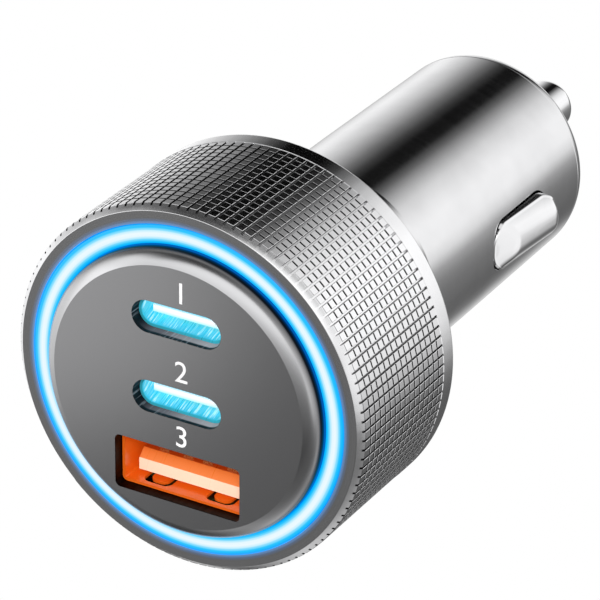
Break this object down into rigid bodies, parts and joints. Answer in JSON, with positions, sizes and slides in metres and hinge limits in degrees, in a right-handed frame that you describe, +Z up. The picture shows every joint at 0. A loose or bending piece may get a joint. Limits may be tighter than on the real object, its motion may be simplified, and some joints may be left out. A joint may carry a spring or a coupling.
{
  "type": "car charger plug",
  "caption": "Knurled metal charger head with a glowing ring and recessed charging ports, on a chromed socket barrel with a sprung tip and sprung side contacts.",
  "frame": {"origin": "on the plug's axis at the stop shoulder, where the neck ends and the barrel begins", "axes": "+Y along the axis towards the sprung tip, -Y towards the face, +Z up through the row of ports, +X to the right as seen from the front"},
  "size_m": [0.0352, 0.0713, 0.0352],
  "materials": {
    "head_metal": "turned and knurled, polished",
    "ring_diffuser": "clear, lit from behind",
    "plate_metal": "dark satin",
    "frame_plastic": "moulded",
    "circuit_board": "solder mask",
    "lamp": "clear",
    "port_steel": "drawn",
    "cyan_plastic": "moulded",
    "orange_shell": "coated",
    "orange_plastic": "moulded",
    "contact_gold": "plated",
    "barrel_chrome": "polished",
    "contact_chrome": "polished",
    "spring_steel": "drawn",
    "nose_plastic": "moulded",
    "ferrite": "sintered",
    "winding": "enamelled wire",
    "can": "drawn",
    "chip": "moulded"
  },
  "bodies": {
    "plug_body": {"head_sleeve": "head_metal", "light_ring": "ring_diffuser", "face_plate": "plate_metal", "core_frame": "frame_plastic", "light_board": "circuit_board", "light_chips": "lamp", "port_board": "circuit_board", "upper_slim_shell": "port_steel", "upper_slim_insert": "cyan_plastic", "upper_slim_pads": "contact_gold", "lower_slim_shell": "port_steel", "lower_slim_insert": "cyan_plastic", "lower_slim_pads": "contact_gold", "wide_shell": "orange_shell", "wide_insert": "orange_plastic", "wide_contacts": "contact_gold", "barrel_shell": "barrel_chrome", "insulating_sleeve": "frame_plastic", "right_leaf": "spring_steel", "left_leaf": "spring_steel", "nose": "nose_plastic", "tip_spring": "spring_steel", "tip_terminal": "contact_gold", "main_board": "circuit_board", "board_pins": "contact_gold", "inductor_core": "ferrite", "inductor_winding": "winding", "input_capacitor": "can", "output_capacitor": "can", "control_chips": "chip"},
    "tip": {"tip": "contact_chrome"},
    "right_contact": {"right_contact": "contact_chrome"},
    "left_contact": {"left_contact": "contact_chrome"}
  },
  "joints": [
    {"name": "tip_slide", "type": "slide", "parent": "plug_body", "child": "tip", "axis": [0, -1, 0], "range_m": [0, 0.003], "stiffness_N_per_m": 1500, "springref_m": -0.001, "deforming": ["tip_spring"]},
    {"name": "right_contact_slide", "type": "slide", "parent": "plug_body", "child": "right_contact", "axis": [-1, 0, 0], "range_m": [0, 0.0019], "stiffness_N_per_m": 2500, "springref_m": -0.0005, "deforming": ["right_leaf"]},
    {"name": "left_contact_slide", "type": "slide", "parent": "plug_body", "child": "left_contact", "axis": [1, 0, 0], "range_m": [0, 0.0019], "stiffness_N_per_m": 2500, "springref_m": -0.0005, "deforming": ["left_leaf"]}
  ]
}
